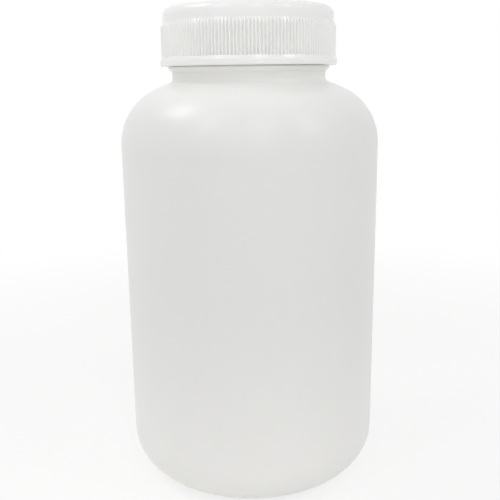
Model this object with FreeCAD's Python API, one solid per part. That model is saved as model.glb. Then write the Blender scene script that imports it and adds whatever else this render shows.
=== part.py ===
import FreeCAD, Part
import math
import os

from FreeCAD import Vector

# Wide-mouth round bottle with a screw cap and a sealing disc, nominal one litre.
# Millimetres, +Z up. The bottle stands on z = 0 and all pieces share the Z axis.
# Angles are in degrees.

# Bottle body, blow moulded with an even wall
BODY_DIAMETER = 96.0
STRAIGHT_TOP = 128.35
BODY_WALL = 1.6
HEEL_RADIUS = 16.4
STANDING_RING_WIDTH = 4.5
PUSH_UP = 3.0
PUSH_UP_RAMP = 4.0
SHOULDER_CONE_WIDTH = 4.2
SHOULDER_CONE_SLOPE = 20.0

# Weld line under the base, where the mould pinched the tube shut
PINCH_END_MARGIN = 2.0
PINCH_WIDTH = 1.2
PINCH_HEIGHT = 0.45

# Neck between the shoulder and the bead that the cap stops above
NECK_DIAMETER = 56.6
NECK_LENGTH = 2.4
NECK_FILLET = 1.5
INNER_NECK_CHAMFER = 2.0
BEAD_DIAMETER = 59.4
BEAD_LAND = 0.6

# Threaded finish and rim
FINISH_HEIGHT = 17.85
FINISH_DIAMETER = 55.9
MOUTH_DIAMETER = 52.6
RIM_CHAMFER = 0.35

# Right-hand thread of the neck and the cap
THREAD_PITCH = 5.0
THREAD_HEIGHT = 1.35
THREAD_ROOT_WIDTH = 2.8
THREAD_CREST_WIDTH = 0.9
THREAD_RUN_OUT = 24.0
THREAD_SINK = 0.5
NECK_THREAD_TURNS = 1.5
NECK_THREAD_BELOW_RIM = 2.9
CAP_THREAD_TURNS = 1.25
CAP_THREAD_LAG = 10.0
THREAD_RADIAL_CLEARANCE = 0.55
THREAD_FLANK_CLEARANCE = 0.3

# Cap, injection moulded
CAP_WALL = 1.3
CAP_TOP_THICKNESS = 2.0
CAP_EDGE_RADIUS = 3.1
CAP_INNER_CHAMFER = 0.4
CAP_TO_BEAD_GAP = 0.15
CAP_MOUTH_CHAMFER = 0.4

# Ring round the bottom of the cap
RING_STEP = 1.45
RING_HEIGHT = 3.2
RING_CHAMFER = 0.5
RING_TOP_TAPER = 1.3

# Grip ribs round the cap's side, with their shares of the pitch at root and crest
RIB_COUNT = 160
RIB_HEIGHT = 0.8
RIB_ROOT_SHARE = 0.8
RIB_CREST_SHARE = 0.25
RIB_SINK = 0.15
RIB_TOP_TAPER = 1.7
RIB_BELOW_CAP_TOP = 5.45

# Sealing disc, and the small bead that keeps it in the cap
LINER_THICKNESS = 1.0
LINER_RADIAL_CLEARANCE = 0.5
LINER_BEAD_STEP = 0.95
LINER_BEAD_WIDTH = 0.8
LINER_BEAD_GAP = 0.2

# Angle between the points that a thread's edges pass through
THREAD_POINT_STEP = 6.0

AXIS = Vector(0, 0, 1)
ORIGIN = Vector(0, 0, 0)

# Radii that several pieces share
body_radius = BODY_DIAMETER / 2
neck_radius = NECK_DIAMETER / 2
bead_radius = BEAD_DIAMETER / 2
finish_radius = FINISH_DIAMETER / 2
mouth_radius = MOUTH_DIAMETER / 2
neck_crest_radius = finish_radius + THREAD_HEIGHT
cap_bore_radius = neck_crest_radius + THREAD_RADIAL_CLEARANCE
cap_crest_radius = finish_radius + THREAD_RADIAL_CLEARANCE
cap_radius = cap_bore_radius + CAP_WALL
ring_radius = cap_radius + RING_STEP
liner_radius = cap_bore_radius - LINER_RADIAL_CLEARANCE

# Standing ring between the heel and the push-up
ring_outer_radius = body_radius - HEEL_RADIUS
ring_inner_radius = ring_outer_radius - STANDING_RING_WIDTH
panel_radius = ring_inner_radius - PUSH_UP_RAMP

# The shoulder is an arc, tangent to the wall, and a cone from its end to the neck's fillet
cone_sine = math.sin(math.radians(SHOULDER_CONE_SLOPE))
cone_cosine = math.cos(math.radians(SHOULDER_CONE_SLOPE))
cone_tangent = cone_sine / cone_cosine
shoulder_step = body_radius - neck_radius - SHOULDER_CONE_WIDTH
shoulder_radius = shoulder_step / (1 - cone_sine) - NECK_FILLET
shoulder_centre = Vector(body_radius - shoulder_radius, 0, STRAIGHT_TOP)
cone_rise = SHOULDER_CONE_WIDTH * cone_tangent

# Heights, from the base up
neck_bottom = STRAIGHT_TOP + (shoulder_radius + NECK_FILLET) * cone_cosine + cone_rise
bead_bottom = neck_bottom + NECK_LENGTH
bead_full = bead_bottom + bead_radius - neck_radius
bead_top = bead_full + BEAD_LAND
rim = bead_top + FINISH_HEIGHT
liner_top = rim + LINER_THICKNESS
cap_top = liner_top + CAP_TOP_THICKNESS
cap_bottom = bead_top + CAP_TO_BEAD_GAP
ring_top = cap_bottom + RING_HEIGHT
rib_bottom = ring_top - RIB_SINK
rib_top = cap_top - RIB_BELOW_CAP_TOP

# Thread flanks, and how far the cap's ridge lies below the neck's when the cap is closed
flank_tangent = (THREAD_ROOT_WIDTH - THREAD_CREST_WIDTH) / 2 / THREAD_HEIGHT
flank_cosine = 1 / math.hypot(1, flank_tangent)
crest_overlap = neck_crest_radius - cap_crest_radius
closed_ridge_offset = (
    THREAD_CREST_WIDTH + crest_overlap * flank_tangent + THREAD_FLANK_CLEARANCE / flank_cosine
)
neck_thread_bottom = rim - NECK_THREAD_BELOW_RIM - NECK_THREAD_TURNS * THREAD_PITCH


def on_circle(centre, radius, angle):
    """Point of a circle in the plane y = 0, with its angle measured from +X towards +Z."""
    turn = math.radians(angle)
    return centre + Vector(radius * math.cos(turn), 0, radius * math.sin(turn))


def arc(centre, radius, start, end):
    """Arc in the plane y = 0 between two angles."""
    middle = (start + end) / 2
    return Part.Arc(
        on_circle(centre, radius, start),
        on_circle(centre, radius, middle),
        on_circle(centre, radius, end),
    )


def turned(outline):
    """Solid of revolution about Z. The outline lists (radius, height) points and arcs in order."""
    items = [Vector(item[0], 0, item[1]) if isinstance(item, tuple) else item for item in outline]
    edges = []
    for item, following in zip(items, items[1:] + items[:1]):
        leave = item
        arrive = following
        if not isinstance(item, Vector):
            edges.append(item.toShape())
            leave = item.EndPoint
        if not isinstance(following, Vector):
            arrive = following.StartPoint
        if leave.distanceToPoint(arrive) > 1e-6:
            edges.append(Part.LineSegment(leave, arrive).toShape())
    return Part.Face(Part.Wire(edges)).revolve(ORIGIN, AXIS, 360)


def place(radius, height):
    """Point of the plane y = 0 at a radius and a height."""
    return Vector(radius, 0, height)


def closed_solid(faces):
    """Solid inside a closed set of faces."""
    shell = Part.Shell(faces)
    shell.sewShape()
    solid = Part.Solid(shell)
    if solid.Volume < 0:
        solid.reverse()
    return solid


def bottle_shell():
    """Container turned from its half-section: up the outside, over the rim, down the inside."""
    heel_centre = place(ring_outer_radius, HEEL_RADIUS)
    fillet_centre = place(neck_radius + NECK_FILLET, neck_bottom)
    shoulder_end = 90 - SHOULDER_CONE_SLOPE

    inner_arc = arc(shoulder_centre, shoulder_radius - BODY_WALL, shoulder_end, 0)
    inner_cone_top_radius = mouth_radius + INNER_NECK_CHAMFER
    inner_cone_width = inner_arc.StartPoint.x - inner_cone_top_radius
    inner_cone_top = inner_arc.StartPoint.z + inner_cone_width * cone_tangent
    return turned([
        (0, PUSH_UP),
        (panel_radius, PUSH_UP),
        (ring_inner_radius, 0),
        (ring_outer_radius, 0),
        arc(heel_centre, HEEL_RADIUS, -90, 0),
        arc(shoulder_centre, shoulder_radius, 0, shoulder_end),
        arc(fillet_centre, NECK_FILLET, 180 + shoulder_end, 180),
        (neck_radius, bead_bottom),
        (bead_radius, bead_full),
        (bead_radius, bead_top),
        (finish_radius, bead_top),
        (finish_radius, rim - RIM_CHAMFER),
        (finish_radius - RIM_CHAMFER, rim),
        (mouth_radius + RIM_CHAMFER, rim),
        (mouth_radius, rim - RIM_CHAMFER),
        (mouth_radius, inner_cone_top + INNER_NECK_CHAMFER),
        (inner_cone_top_radius, inner_cone_top),
        inner_arc,
        arc(heel_centre, HEEL_RADIUS - BODY_WALL, 0, -90),
        (ring_inner_radius, BODY_WALL),
        (panel_radius, PUSH_UP + BODY_WALL),
        (0, PUSH_UP + BODY_WALL),
    ])


def pinch_line():
    """Raised weld across the underside of the push-up's flat panel."""
    half_length = panel_radius - PINCH_END_MARGIN
    return Part.makeBox(
        2 * half_length,
        PINCH_WIDTH,
        PINCH_HEIGHT + BODY_WALL / 2,
        Vector(-half_length, -PINCH_WIDTH / 2, PUSH_UP - PINCH_HEIGHT),
    )


def thread_ridge(surface_radius, inward, bottom, start, turns):
    """Ridge of a right-hand thread on a round surface, which it runs out into at both ends.

    The ridge rises from the height bottom at the angle start. It stands outwards, or inwards
    where inward is true, and its foot is sunk in the wall that carries it.
    """
    side = -1 if inward else 1
    sweep = 360 * turns
    steps = math.ceil(sweep / THREAD_POINT_STEP)
    rails = {"lower foot": [], "lower crest": [], "upper crest": [], "upper foot": []}
    for step in range(steps + 1):
        swept = sweep * step / steps
        fade = min(1, swept / THREAD_RUN_OUT, (sweep - swept) / THREAD_RUN_OUT)
        fade = fade * fade * (3 - 2 * fade)
        stand = (THREAD_HEIGHT + THREAD_SINK / 2) * fade - THREAD_SINK / 2
        turn = math.radians(start + swept)
        height = bottom + THREAD_PITCH * swept / 360
        crest_half = THREAD_CREST_WIDTH / 2
        foot_half = crest_half + (stand + THREAD_SINK) * flank_tangent
        crest_radius = surface_radius + side * stand
        foot_radius = surface_radius - side * THREAD_SINK
        for name, radius, drop in (
            ("lower foot", foot_radius, -foot_half),
            ("lower crest", crest_radius, -crest_half),
            ("upper crest", crest_radius, crest_half),
            ("upper foot", foot_radius, foot_half),
        ):
            point = Vector(radius * math.cos(turn), radius * math.sin(turn), height + drop)
            rails[name].append(point)
    marks = [step / steps for step in range(steps + 1)]
    edges = []
    for points in rails.values():
        curve = Part.BSplineCurve()
        curve.interpolate(Points=points, Parameters=marks)
        edges.append(curve.toShape())
    faces = [Part.makeRuledSurface(one, other) for one, other in zip(edges, edges[1:] + edges[:1])]
    for end in (0, -1):
        corners = [points[end] for points in rails.values()]
        faces.append(Part.Face(Part.makePolygon(corners + corners[:1])))
    return closed_solid(faces)


def make_bottle():
    """Container with its pinch line and the thread on its neck."""
    thread = thread_ridge(finish_radius, False, neck_thread_bottom, 0, NECK_THREAD_TURNS)
    return bottle_shell().fuse(pinch_line()).fuse(thread)


def cap_shell():
    """Cap turned from its half-section: down the inside, round the ring and up the outside."""
    bead_upper = rim - LINER_BEAD_GAP
    bead_lower = bead_upper - LINER_BEAD_WIDTH
    edge_centre = place(cap_radius - CAP_EDGE_RADIUS, cap_top - CAP_EDGE_RADIUS)
    return turned([
        (0, liner_top),
        (cap_bore_radius - CAP_INNER_CHAMFER, liner_top),
        (cap_bore_radius, liner_top - CAP_INNER_CHAMFER),
        (cap_bore_radius, bead_upper),
        (cap_bore_radius - LINER_BEAD_STEP, (bead_upper + bead_lower) / 2),
        (cap_bore_radius, bead_lower),
        (cap_bore_radius, cap_bottom + CAP_MOUTH_CHAMFER),
        (cap_bore_radius + CAP_MOUTH_CHAMFER, cap_bottom),
        (ring_radius - RING_CHAMFER, cap_bottom),
        (ring_radius, cap_bottom + RING_CHAMFER),
        (ring_radius, ring_top - RING_TOP_TAPER),
        (ring_radius - RING_CHAMFER, ring_top),
        (cap_radius, ring_top),
        arc(edge_centre, CAP_EDGE_RADIUS, 0, 90),
        (0, cap_top),
    ])


def grip_rib():
    """One upright rib on the +X side of the cap, its foot in the wall and its top sloped off."""
    pitch = 360 / RIB_COUNT
    crest_half = RIB_CREST_SHARE * pitch / 2
    flank_share = (RIB_ROOT_SHARE - RIB_CREST_SHARE) / 2
    foot_half = crest_half + flank_share * pitch * (RIB_HEIGHT + RIB_SINK) / RIB_HEIGHT
    foot_radius = cap_radius - RIB_SINK
    foot_top = rib_top + RIB_SINK * RIB_TOP_TAPER / RIB_HEIGHT
    crest_radius = cap_radius + RIB_HEIGHT
    crest_top = rib_top - RIB_TOP_TAPER
    lower = []
    upper = []
    for radius, offset, top in (
        (foot_radius, -foot_half, foot_top),
        (crest_radius, -crest_half, crest_top),
        (crest_radius, crest_half, crest_top),
        (foot_radius, foot_half, foot_top),
    ):
        turn = math.radians(offset)
        x = radius * math.cos(turn)
        y = radius * math.sin(turn)
        lower.append(Vector(x, y, rib_bottom))
        upper.append(Vector(x, y, top))
    outlines = [lower, upper]
    for side in range(4):
        beside = (side + 1) % 4
        outlines.append([lower[side], lower[beside], upper[beside], upper[side]])
    return closed_solid([Part.Face(Part.makePolygon(line + line[:1])) for line in outlines])


def make_cap():
    """Cap with its grip ribs and its inner thread, which lies under the neck's thread."""
    start = CAP_THREAD_LAG
    bottom = neck_thread_bottom + THREAD_PITCH * start / 360 - closed_ridge_offset
    thread = thread_ridge(cap_bore_radius, True, bottom, start, CAP_THREAD_TURNS)
    rib = grip_rib()
    ribs = [rib.rotated(ORIGIN, AXIS, index * 360 / RIB_COUNT) for index in range(RIB_COUNT)]
    return cap_shell().fuse(ribs).fuse(thread)


def make_cap_liner():
    """Flat sealing disc that lies on the rim and against the cap's top wall."""
    return Part.makeCylinder(liner_radius, LINER_THICKNESS, place(0, rim), AXIS)


os.makedirs("parts", exist_ok=True)
for node, make in (
    ("bottle", make_bottle),
    ("cap", make_cap),
    ("cap_liner", make_cap_liner),
):
    make().exportStep(os.path.join("parts", node + ".step"))
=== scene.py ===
import math
import bmesh
import bpy
from mathutils import Matrix, Vector
from mathutils.bvhtree import BVHTree


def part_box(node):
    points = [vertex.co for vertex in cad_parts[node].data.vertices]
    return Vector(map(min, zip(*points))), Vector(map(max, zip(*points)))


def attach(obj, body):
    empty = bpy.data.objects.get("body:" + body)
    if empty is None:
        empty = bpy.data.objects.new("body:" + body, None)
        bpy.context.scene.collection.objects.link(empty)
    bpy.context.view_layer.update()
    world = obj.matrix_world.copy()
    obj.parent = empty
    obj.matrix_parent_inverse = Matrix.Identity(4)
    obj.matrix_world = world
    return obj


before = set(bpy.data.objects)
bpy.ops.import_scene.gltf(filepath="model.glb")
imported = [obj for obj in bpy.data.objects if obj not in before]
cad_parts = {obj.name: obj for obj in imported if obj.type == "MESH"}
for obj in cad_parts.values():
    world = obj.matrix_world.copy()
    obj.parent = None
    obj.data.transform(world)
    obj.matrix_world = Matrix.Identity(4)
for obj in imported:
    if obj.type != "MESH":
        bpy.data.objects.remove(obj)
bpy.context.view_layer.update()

# Places on the bottle that the frame gives, in metres
_, cap_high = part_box("cap")
_, bottle_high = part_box("bottle")
body_radius = bottle_high.x
whole_height = cap_high.z

# Camera, as fitted to the outline of the bottle in the photograph, in metres and degrees. The lens
# and the sensor are in millimetres.
CAMERA_DISTANCE = 0.2757
CAMERA_HEIGHT = 0.1531
CAMERA_PITCH = 13.6
CAMERA_ROLL = -0.69
CAMERA_LENS = 51.92
CAMERA_SENSOR = 36.0
CAMERA_SHIFT_X = -0.0019
CAMERA_NEAR = 0.01

# Colours of the plastics and of the floor
BOTTLE_COLOUR = (0.84, 0.84, 0.832)
# Painted light: whiter bottle colour that lifts the shade under the cap and the base, in place of
# light
PAINTED_LIGHT_COLOUR = (0.93, 0.927, 0.908)
CAP_COLOUR = (0.955, 0.955, 0.94)
LINER_COLOUR = (0.88, 0.88, 0.87)
FLOOR_COLOUR = (0.95, 0.945, 0.93)
PURE_WHITE = (1.0, 1.0, 1.0, 1.0)

# What the plastics share: how they bend light, and how far each colour scatters beside the others
PLASTIC_IOR = 1.5
SCATTER_SPREAD = (1.0, 1.0, 0.9)

# Noise lies evenly round its middle. Flow lines are a fine noise, drawn out along the axis.
NOISE_MIDDLE = 0.5
FLOW_SCALE = 700.0
FLOW_DRAWN_OUT = (1.0, 1.0, 0.03)

# Heights in metres over which painted light whitens the bottle, towards the shaded neck and towards
# the base
NECK_PAINTED_LIGHT = (0.136, 0.152)
BASE_PAINTED_LIGHT = (0.085, -0.005)

# Colour sockets of a Mix node, whose names its number and vector sockets have too
MIX_COLOUR_A = 6
MIX_COLOUR_B = 7
MIX_COLOUR_RESULT = 2

# Light of the room by direction, and the parts of a direction's Y and Z over which it changes
FRONT_LEVEL = 0.43
BACK_LEVEL = 0.6
ZENITH_LEVEL = 0.62
FRONT_TO_BACK = (-0.6, 0.8)
SIDES_TO_ZENITH = (0.3, 0.9)

# Lamps as name, azimuth, elevation, width, height and brightness, in degrees and metres.
# Azimuth 0 is the camera's side and turns towards +X.
LAMP_DISTANCE = 1.0
LAMPS = (
    ("lamp_left", -94, 52, 0.3, 0.3, 5.2),
    ("lamp_front_left", -43, 46, 0.12, 0.42, 4.4),
    ("lamp_front", 15, 45, 0.12, 0.42, 4.4),
    ("lamp_right", 60, 40, 0.15, 0.42, 5.0),
    ("lamp_low", 0, 22, 0.8, 0.8, 0.5),
)

# The floor is white to the camera far off, and keeps this share of its own shading near the bottle.
# It lies a hair under the standing ring, so that the two faces don't fall together.
FLOOR_REACH = 30 * whole_height
FLOOR_LEVEL = -0.00005
SHADOW_SHARE = 0.24
SHADOW_FADES = (whole_height, 2.4 * whole_height)

# Mould parting line on both sides of the bottle. The outline of its section is in shares of half
# its width and of its height.
SEAM_WIDTH = 0.0005
SEAM_HEIGHT = 0.00009
SEAM_SINK = 0.0001
SEAM_OUTLINE = ((-1, 0), (-0.5, 0.8), (0, 1), (0.5, 0.8), (1, 0))
SEAM_STATIONS = 220
SEAM_FIRST_STATION = 5

# Trace of the moulding gate in the middle of the cap. Its outline is in shares of its radius and
# of its height.
GATE_RADIUS = 0.0011
GATE_HEIGHT = 0.00025
GATE_SINK = 0.0001
GATE_OUTLINE = ((1, 0), (0.9, 0.6), (0.7, 1), (0.3, 0.8))
GATE_SEGMENTS = 48


def new_group(name, inputs, outputs):
    """Shader node group with its sockets, and its input and output nodes."""
    group = bpy.data.node_groups.new(name, "ShaderNodeTree")
    for label, kind, value in inputs:
        socket = group.interface.new_socket(label, in_out="INPUT", socket_type=kind)
        socket.default_value = value
    for label, kind in outputs:
        group.interface.new_socket(label, in_out="OUTPUT", socket_type=kind)
    return group, group.nodes.new("NodeGroupInput"), group.nodes.new("NodeGroupOutput")


def feed(tree, value, socket):
    """Gives a node's input a value, which is a socket or a plain number."""
    if isinstance(value, bpy.types.NodeSocket):
        tree.links.new(value, socket)
    else:
        socket.default_value = value


def math_node(tree, operation, first, second, clamp=False):
    """Math node whose inputs are sockets or plain numbers. Returns its output."""
    node = tree.nodes.new("ShaderNodeMath")
    node.operation = operation
    node.use_clamp = clamp
    feed(tree, first, node.inputs[0])
    feed(tree, second, node.inputs[1])
    return node.outputs[0]


def noise_at(tree, place, scale, detail=2.0):
    """Noise value over a place, at a scale that is a socket or a number."""
    node = tree.nodes.new("ShaderNodeTexNoise")
    node.inputs["Detail"].default_value = detail
    tree.links.new(place, node.inputs["Vector"])
    feed(tree, scale, node.inputs["Scale"])
    return node.outputs["Fac"]


def smooth_step(tree, value, start, end):
    """Value that rises smoothly from 0 at start to 1 at end."""
    node = tree.nodes.new("ShaderNodeMapRange")
    node.interpolation_type = "SMOOTHSTEP"
    node.inputs["From Min"].default_value = start
    node.inputs["From Max"].default_value = end
    tree.links.new(value, node.inputs["Value"])
    return node.outputs["Result"]


def split_place(tree, coordinates):
    """X, Y and Z outputs of the named texture coordinates."""
    split = tree.nodes.new("ShaderNodeSeparateXYZ")
    place = tree.nodes.new("ShaderNodeTexCoord").outputs[coordinates]
    tree.links.new(place, split.inputs[0])
    return split.outputs


def moulded_skin_group():
    """Skin of a moulded plastic: cloudy tint, uneven gloss, fine grain and drawn-out flow lines."""
    group, given, result = new_group(
        "moulded_skin",
        [
            ("Colour", "NodeSocketColor", (0.8, 0.8, 0.8, 1.0)),
            ("Cloud Size", "NodeSocketFloat", 0.02),
            ("Cloud Depth", "NodeSocketFloat", 0.03),
            ("Roughness", "NodeSocketFloat", 0.35),
            ("Gloss Variation", "NodeSocketFloat", 0.05),
            ("Grain Size", "NodeSocketFloat", 0.0006),
            ("Flow Lines", "NodeSocketFloat", 0.3),
        ],
        [
            ("Colour", "NodeSocketColor"),
            ("Roughness", "NodeSocketFloat"),
            ("Height", "NodeSocketFloat"),
        ],
    )
    place = group.nodes.new("ShaderNodeTexCoord").outputs["Object"]

    cloud_scale = math_node(group, "DIVIDE", 1.0, given.outputs["Cloud Size"])
    cloud = noise_at(group, place, cloud_scale)
    centred = math_node(group, "SUBTRACT", cloud, NOISE_MIDDLE)
    shade = math_node(group, "MULTIPLY", centred, given.outputs["Cloud Depth"])
    shade = math_node(group, "ADD", shade, 1.0)
    tint = group.nodes.new("ShaderNodeVectorMath")
    tint.operation = "SCALE"
    group.links.new(given.outputs["Colour"], tint.inputs[0])
    group.links.new(shade, tint.inputs["Scale"])
    group.links.new(tint.outputs["Vector"], result.inputs["Colour"])

    gloss = math_node(group, "MULTIPLY", centred, given.outputs["Gloss Variation"])
    gloss = math_node(group, "ADD", gloss, given.outputs["Roughness"])
    group.links.new(gloss, result.inputs["Roughness"])

    grain_scale = math_node(group, "DIVIDE", 1.0, given.outputs["Grain Size"])
    grain = noise_at(group, place, grain_scale)
    drawn = group.nodes.new("ShaderNodeMapping")
    drawn.inputs["Scale"].default_value = FLOW_DRAWN_OUT
    group.links.new(place, drawn.inputs["Vector"])
    flow = noise_at(group, drawn.outputs["Vector"], FLOW_SCALE, detail=1.0)
    flow = math_node(group, "MULTIPLY", flow, given.outputs["Flow Lines"])
    height = math_node(group, "ADD", grain, flow)
    group.links.new(height, result.inputs["Height"])
    return group


def new_material(name):
    """Material of nodes, and its node tree."""
    material = bpy.data.materials.new(name)
    material.use_nodes = True
    return material, material.node_tree


def plastic(
    name, skin, colour, values, scatter_share, scatter_depth, relief_strength, relief_height
):
    """Plastic with the moulded skin over a body that light scatters in.

    values are the skin's own inputs. Returns the material and its skin node.
    """
    material, tree = new_material(name)
    shader = tree.nodes["Principled BSDF"]
    surface = tree.nodes.new("ShaderNodeGroup")
    surface.node_tree = skin
    surface.inputs["Colour"].default_value = (*colour, 1.0)
    for label, value in values.items():
        surface.inputs[label].default_value = value
    relief = tree.nodes.new("ShaderNodeBump")
    relief.inputs["Strength"].default_value = relief_strength
    relief.inputs["Distance"].default_value = relief_height
    tree.links.new(surface.outputs["Colour"], shader.inputs["Base Color"])
    tree.links.new(surface.outputs["Roughness"], shader.inputs["Roughness"])
    tree.links.new(surface.outputs["Height"], relief.inputs["Height"])
    tree.links.new(relief.outputs["Normal"], shader.inputs["Normal"])
    shader.inputs["IOR"].default_value = PLASTIC_IOR
    shader.inputs["Subsurface Weight"].default_value = scatter_share
    shader.inputs["Subsurface Radius"].default_value = SCATTER_SPREAD
    shader.inputs["Subsurface Scale"].default_value = scatter_depth
    return material, surface


def paint_light_on_neck_and_base(material, surface):
    """Paints light into the bottle's colour: whiter towards the neck, in the cap's shade, and
    towards the base.
    """
    tree = material.node_tree
    height = split_place(tree, "Object")["Z"]
    # Painted light: whiter up to the neck, against the cap's shade, and down to the base, for the
    # floor's light
    neck = smooth_step(tree, height, *NECK_PAINTED_LIGHT)
    base = smooth_step(tree, height, *BASE_PAINTED_LIGHT)
    painted_light = math_node(tree, "ADD", neck, base, clamp=True)
    blend = tree.nodes.new("ShaderNodeMix")
    blend.data_type = "RGBA"
    blend.inputs[MIX_COLOUR_A].default_value = (*BOTTLE_COLOUR, 1.0)
    blend.inputs[MIX_COLOUR_B].default_value = (*PAINTED_LIGHT_COLOUR, 1.0)
    tree.links.new(painted_light, blend.inputs["Factor"])
    tree.links.new(blend.outputs[MIX_COLOUR_RESULT], surface.inputs["Colour"])


def dress(node, material):
    """Gives a node of the frame its finish."""
    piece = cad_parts[node]
    piece.data.materials.clear()
    piece.data.materials.append(material)


def new_object(name, data):
    """Object in the scene that holds a mesh, a lamp or a camera."""
    thing = bpy.data.objects.new(name, data)
    bpy.context.scene.collection.objects.link(thing)
    return thing


def new_piece(name, rings, material, body):
    """Smooth piece, closed at both ends, over rings of places, which moves with a body.
    """
    bm = bmesh.new()
    rings = [[bm.verts.new(place) for place in ring] for ring in rings]
    for low, high in zip(rings, rings[1:]):
        for corner in range(len(low)):
            following = (corner + 1) % len(low)
            bm.faces.new((low[corner], low[following], high[following], high[corner]))
    bm.faces.new(rings[0])
    bm.faces.new(rings[-1])
    bmesh.ops.recalc_face_normals(bm, faces=bm.faces)
    mesh = bpy.data.meshes.new(name)
    bm.to_mesh(mesh)
    bm.free()
    for face in mesh.polygons:
        face.use_smooth = True
    mesh.materials.append(material)
    piece = new_object(name, mesh)
    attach(piece, body)


def side_profile(side):
    """Places and outward directions up one side of the bottle, from its heel to under its bead.

    They lie closer together towards the base and the mouth, where the side turns.
    """
    bm = bmesh.new()
    bm.from_mesh(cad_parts["bottle"].data)
    skin_tree = BVHTree.FromBMesh(bm)
    bm.free()
    stations = []
    narrowest = body_radius
    for step in range(SEAM_FIRST_STATION, SEAM_STATIONS):
        height = bottle_high.z * (1 - math.cos(math.pi * step / SEAM_STATIONS)) / 2
        start = Vector((side * 2 * body_radius, 0, height))
        place, normal, _, _ = skin_tree.ray_cast(start, Vector((-side, 0, 0)))
        if place is None:
            continue
        radius = abs(place.x)
        above_middle = height > bottle_high.z / 2
        if above_middle and radius > narrowest + SEAM_HEIGHT:
            break
        if above_middle:
            narrowest = min(narrowest, radius)
        normal.y = 0
        stations.append((place, normal.normalized()))
    return stations


def make_seam(name, side, material):
    """Fine raised line where the two halves of the mould met, with a softly rounded section."""
    half = SEAM_WIDTH / 2
    section = [(across * half, proud * SEAM_HEIGHT) for across, proud in SEAM_OUTLINE]
    section = [(-half, -SEAM_SINK), *section, (half, -SEAM_SINK)]
    rings = []
    for place, normal in side_profile(side):
        rings.append([
            place + normal * proud + Vector((0, across, 0)) for across, proud in section
        ])
    new_piece(name, rings, material, "bottle")


def make_gate_mark(material):
    """Small rounded button that the moulding gate leaves in the middle of the cap's top."""
    profile = [(wide * GATE_RADIUS, tall * GATE_HEIGHT) for wide, tall in GATE_OUTLINE]
    profile = [(GATE_RADIUS, -GATE_SINK), *profile]
    turns = [2 * math.pi * step / GATE_SEGMENTS for step in range(GATE_SEGMENTS)]
    rings = []
    for radius, height in profile:
        rings.append([
            (radius * math.cos(turn), radius * math.sin(turn), cap_high.z + height)
            for turn in turns
        ])
    new_piece("gate_mark", rings, material, "cap")


def white_to_the_eye(tree, white_kind, plain, share=1.0):
    """Mix of a plain shader with white, where the camera, gloss or glass looks straight at it."""
    white = tree.nodes.new(white_kind)
    white.inputs["Color"].default_value = PURE_WHITE
    white.inputs["Strength"].default_value = 1.0
    seen = tree.nodes.new("ShaderNodeLightPath")
    looks = math_node(
        tree, "MAXIMUM", seen.outputs["Is Camera Ray"], seen.outputs["Is Glossy Ray"]
    )
    looks = math_node(tree, "MAXIMUM", looks, seen.outputs["Is Transmission Ray"])
    looks = math_node(tree, "MULTIPLY", looks, share)
    mix = tree.nodes.new("ShaderNodeMixShader")
    tree.links.new(looks, mix.inputs["Fac"])
    tree.links.new(plain.outputs[0], mix.inputs[1])
    tree.links.new(white.outputs[0], mix.inputs[2])
    return mix.outputs[0]


def make_floor():
    """Wide pale floor that keeps a soft shadow near the bottle and fades to white far off."""
    material, tree = new_material("floor")
    tree.nodes.remove(tree.nodes["Principled BSDF"])
    matte = tree.nodes.new("ShaderNodeBsdfDiffuse")
    matte.inputs["Color"].default_value = (*FLOOR_COLOUR, 1.0)
    away = tree.nodes.new("ShaderNodeVectorMath")
    away.operation = "LENGTH"
    place = tree.nodes.new("ShaderNodeTexCoord").outputs["Object"]
    tree.links.new(place, away.inputs[0])
    far = smooth_step(tree, away.outputs["Value"], *SHADOW_FADES)
    share = math_node(tree, "MULTIPLY", far, SHADOW_SHARE)
    share = math_node(tree, "ADD", share, 1 - SHADOW_SHARE)
    surface = white_to_the_eye(tree, "ShaderNodeEmission", matte, share)
    tree.links.new(surface, tree.nodes["Material Output"].inputs["Surface"])

    mesh = bpy.data.meshes.new("floor")
    reach = FLOOR_REACH
    corners = [(-reach, -reach, 0), (reach, -reach, 0), (reach, reach, 0), (-reach, reach, 0)]
    mesh.from_pydata(corners, [], [(0, 1, 2, 3)])
    mesh.materials.append(material)
    floor = new_object("floor", mesh)
    floor.location.z = FLOOR_LEVEL


def make_world():
    """Soft room, brighter behind the bottle and above it, and white where it is looked at."""
    world = bpy.data.worlds.new("studio")
    bpy.context.scene.world = world
    world.use_nodes = True
    tree = world.node_tree
    room = tree.nodes["Background"]
    direction = split_place(tree, "Generated")
    around = tree.nodes.new("ShaderNodeMix")
    around.inputs["A"].default_value = FRONT_LEVEL
    around.inputs["B"].default_value = BACK_LEVEL
    towards_back = smooth_step(tree, direction["Y"], *FRONT_TO_BACK)
    tree.links.new(towards_back, around.inputs["Factor"])
    level = tree.nodes.new("ShaderNodeMix")
    level.inputs["B"].default_value = ZENITH_LEVEL
    upwards = smooth_step(tree, direction["Z"], *SIDES_TO_ZENITH)
    tree.links.new(upwards, level.inputs["Factor"])
    tree.links.new(around.outputs["Result"], level.inputs["A"])
    tree.links.new(level.outputs["Result"], room.inputs["Color"])
    surface = white_to_the_eye(tree, "ShaderNodeBackground", room)
    tree.links.new(surface, tree.nodes["World Output"].inputs["Surface"])


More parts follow.
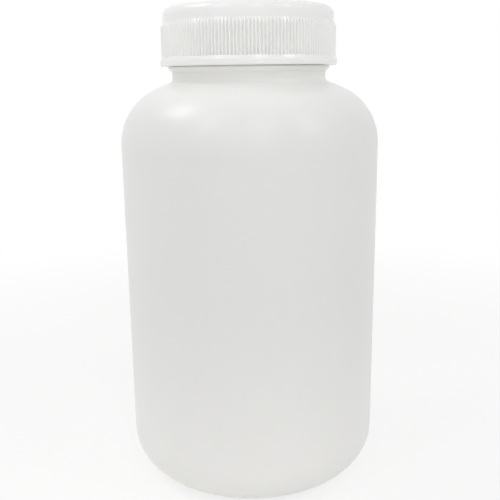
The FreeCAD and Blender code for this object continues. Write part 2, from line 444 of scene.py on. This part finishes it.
def make_lamp(name, azimuth, elevation, width, height, brightness):
    """Soft box that faces the middle of the bottle from a direction."""
    lamp = bpy.data.lights.new(name, "AREA")
    lamp.shape = "RECTANGLE"
    lamp.size = width
    lamp.size_y = height
    lamp.energy = math.pi * width * height * brightness
    turn = math.radians(azimuth)
    rise = math.radians(elevation)
    towards = Vector((
        math.sin(turn) * math.cos(rise), -math.cos(turn) * math.cos(rise), math.sin(rise)
    ))
    holder = new_object(name, lamp)
    holder.location = Vector((0, 0, whole_height / 2)) + towards * LAMP_DISTANCE
    holder.rotation_euler = (-towards).to_track_quat("-Z", "Y").to_euler()


def make_camera():
    """Camera in front of the bottle, which looks a little down at it from the cap's height."""
    lens = bpy.data.cameras.new("camera")
    lens.lens = CAMERA_LENS
    lens.sensor_width = CAMERA_SENSOR
    lens.shift_x = CAMERA_SHIFT_X
    lens.clip_start = CAMERA_NEAR
    camera = new_object("camera", lens)
    tilt = Matrix.Rotation(math.radians(90 - CAMERA_PITCH), 4, "X")
    roll = Matrix.Rotation(math.radians(CAMERA_ROLL), 4, "Z")
    place = Matrix.Translation((0, -CAMERA_DISTANCE, CAMERA_HEIGHT))
    camera.matrix_world = place @ tilt @ roll
    bpy.context.scene.camera = camera


skin = moulded_skin_group()
natural_polyethylene, bottle_skin = plastic(
    "natural_polyethylene", skin, BOTTLE_COLOUR,
    {"Cloud Size": 0.03, "Cloud Depth": 0.02, "Roughness": 0.32, "Flow Lines": 0.5},
    scatter_share=0.5, scatter_depth=0.001, relief_strength=0.06, relief_height=0.0002,
)
# Painted light: the bottle's colour is whiter towards the neck and towards the base
paint_light_on_neck_and_base(natural_polyethylene, bottle_skin)
white_polypropylene, _ = plastic(
    "white_polypropylene", skin, CAP_COLOUR,
    {"Cloud Size": 0.02, "Cloud Depth": 0.01, "Roughness": 0.19, "Flow Lines": 0.0},
    scatter_share=0.6, scatter_depth=0.0007, relief_strength=0.05, relief_height=0.0001,
)
foamed_polyethylene, _ = plastic(
    "foamed_polyethylene", skin, LINER_COLOUR,
    {"Cloud Size": 0.01, "Roughness": 0.6, "Grain Size": 0.0004, "Flow Lines": 0.0},
    scatter_share=0.7, scatter_depth=0.001, relief_strength=0.3, relief_height=0.0001,
)
dress("bottle", natural_polyethylene)
dress("cap", white_polypropylene)
dress("cap_liner", foamed_polyethylene)
make_seam("parting_line_right", 1, natural_polyethylene)
make_seam("parting_line_left", -1, natural_polyethylene)
make_gate_mark(white_polypropylene)

make_floor()
make_world()
for lamp in LAMPS:
    make_lamp(*lamp)
make_camera()

bpy.context.scene.view_settings.view_transform = "Standard"
